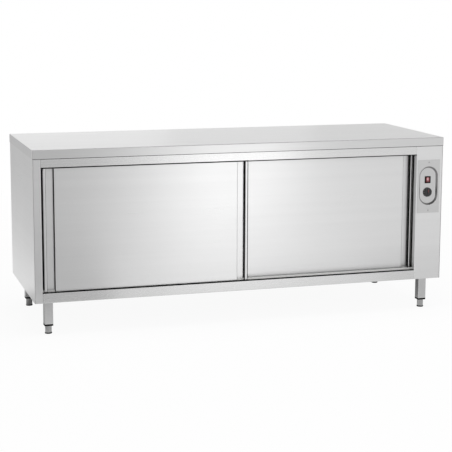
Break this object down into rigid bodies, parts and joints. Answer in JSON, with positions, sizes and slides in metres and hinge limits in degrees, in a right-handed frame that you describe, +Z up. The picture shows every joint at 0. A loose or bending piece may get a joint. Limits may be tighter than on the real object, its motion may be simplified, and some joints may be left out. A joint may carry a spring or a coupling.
{
  "type": "hot cupboard",
  "caption": "Insulated stainless steel hot cupboard with a flat worktop, hanging sliding doors, an inner shelf, a fan heater and a control pillar, on legs with screw feet.",
  "frame": {"origin": "on the floor under the middle of the worktop", "axes": "+X to the right along the worktop, +Y from the front to the back, +Z up"},
  "size_m": [2, 0.7, 0.85],
  "materials": {
    "stainless_skin": "fine brushed",
    "stainless_liner": "plain mill finish",
    "zinc_steel": "zinc coated",
    "bright_steel": "turned, bright",
    "mineral_wool": "fibrous",
    "black_plastic": "satin",
    "dark_plastic": "matte",
    "red_plastic": "gloss, lightly translucent",
    "white_nylon": "satin",
    "copper": "dull copper",
    "element_steel": "heat tinted",
    "motor_steel": "varnished",
    "aluminium_sheet": "plain",
    "terminal_ceramic": "matte"
  },
  "bodies": {
    "cabinet": {"worktop": "stainless_skin", "worktop_stiffeners": "zinc_steel", "left_panel": "stainless_skin", "right_panel": "stainless_skin", "back_panel": "stainless_skin", "base_pan": "zinc_steel", "left_stile": "stainless_skin", "control_pillar": "stainless_skin", "top_rail": "stainless_skin", "bottom_rail": "stainless_skin", "left_liner": "stainless_liner", "right_liner": "stainless_liner", "back_liner": "stainless_liner", "floor_liner": "stainless_liner", "ceiling_liner": "stainless_liner", "insulation_slabs": "mineral_wool", "door_track": "zinc_steel", "door_guide": "black_plastic", "shelf": "stainless_liner", "shelf_uprights": "stainless_liner", "shelf_brackets": "stainless_liner", "control_plate": "stainless_skin", "plate_screws": "bright_steel", "switch_housing": "black_plastic", "thermostat_body": "dark_plastic", "thermostat_bulb": "copper", "heating_element": "element_steel", "fan_housing": "zinc_steel", "fan_motor": "motor_steel", "terminal_block": "terminal_ceramic", "cable_gland": "black_plastic", "legs": "stainless_skin", "leg_inserts": "black_plastic"},
    "front_door": {"front_door_skin": "stainless_skin", "front_door_back": "stainless_liner", "front_door_grips": "stainless_skin", "front_door_core": "mineral_wool", "front_door_hangers": "zinc_steel", "front_door_shoes": "white_nylon"},
    "front_door_roller_left": {"front_door_roller_left": "white_nylon"},
    "front_door_roller_right": {"front_door_roller_right": "white_nylon"},
    "rear_door": {"rear_door_skin": "stainless_skin", "rear_door_back": "stainless_liner", "rear_door_grips": "stainless_skin", "rear_door_core": "mineral_wool", "rear_door_hangers": "zinc_steel", "rear_door_shoes": "white_nylon"},
    "rear_door_roller_left": {"rear_door_roller_left": "white_nylon"},
    "rear_door_roller_right": {"rear_door_roller_right": "white_nylon"},
    "knob": {"thermostat_knob": "black_plastic", "thermostat_spindle": "bright_steel"},
    "rocker": {"switch_rocker": "red_plastic"},
    "fan": {"fan_impeller": "aluminium_sheet", "fan_shaft": "bright_steel"},
    "foot_front_left": {"foot_front_left": "bright_steel"},
    "foot_front_right": {"foot_front_right": "bright_steel"},
    "foot_back_left": {"foot_back_left": "bright_steel"},
    "foot_back_right": {"foot_back_right": "bright_steel"}
  },
  "joints": [
    {"name": "front_door_slide", "type": "slide", "parent": "cabinet", "child": "front_door", "axis": [1, 0, 0], "range_m": [0, 0.84]},
    {"name": "front_door_roller_left_spin", "type": "hinge", "parent": "front_door", "child": "front_door_roller_left", "pos_m": [-0.802, -0.325, 0.7928], "axis": [0, 1, 0], "range_deg": [0, 5070]},
    {"name": "front_door_roller_right_spin", "type": "hinge", "parent": "front_door", "child": "front_door_roller_right", "pos_m": [-0.14375, -0.325, 0.7928], "axis": [0, 1, 0], "range_deg": [0, 5070]},
    {"name": "rear_door_slide", "type": "slide", "parent": "cabinet", "child": "rear_door", "axis": [1, 0, 0], "range_m": [-0.84, 0]},
    {"name": "rear_door_roller_left_spin", "type": "hinge", "parent": "rear_door", "child": "rear_door_roller_left", "pos_m": [0.05325, -0.291, 0.7928], "axis": [0, 1, 0], "range_deg": [-5070, 0]},
    {"name": "rear_door_roller_right_spin", "type": "hinge", "parent": "rear_door", "child": "rear_door_roller_right", "pos_m": [0.7115, -0.291, 0.7928], "axis": [0, 1, 0], "range_deg": [-5070, 0]},
    {"name": "thermostat_turn", "type": "hinge", "parent": "cabinet", "child": "knob", "pos_m": [0.926, -0.338, 0.582], "axis": [0, 1, 0], "range_deg": [0, 270]},
    {"name": "switch_rock", "type": "hinge", "parent": "cabinet", "child": "rocker", "pos_m": [0.926, -0.336, 0.643], "axis": [1, 0, 0], "range_deg": [0, 16]},
    {"name": "fan_spin", "type": "hinge", "parent": "cabinet", "child": "fan", "pos_m": [0.876, 0.02, 0.4815], "axis": [1, 0, 0], "continuous": true},
    {"name": "foot_front_left_screw", "type": "slide", "parent": "cabinet", "child": "foot_front_left", "axis": [0, 0, 1], "range_m": [-0.03, 0]},
    {"name": "foot_front_right_screw", "type": "slide", "parent": "cabinet", "child": "foot_front_right", "axis": [0, 0, 1], "range_m": [-0.03, 0]},
    {"name": "foot_back_left_screw", "type": "slide", "parent": "cabinet", "child": "foot_back_left", "axis": [0, 0, 1], "range_m": [-0.03, 0]},
    {"name": "foot_back_right_screw", "type": "slide", "parent": "cabinet", "child": "foot_back_right", "axis": [0, 0, 1], "range_m": [-0.03, 0]}
  ],
  "couplings": [
    {"joint": "front_door_roller_left_spin", "follows": "front_door_slide", "rad_per_m": 105.26},
    {"joint": "front_door_roller_right_spin", "follows": "front_door_slide", "rad_per_m": 105.26},
    {"joint": "rear_door_roller_left_spin", "follows": "rear_door_slide", "rad_per_m": 105.26},
    {"joint": "rear_door_roller_right_spin", "follows": "rear_door_slide", "rad_per_m": 105.26}
  ]
}
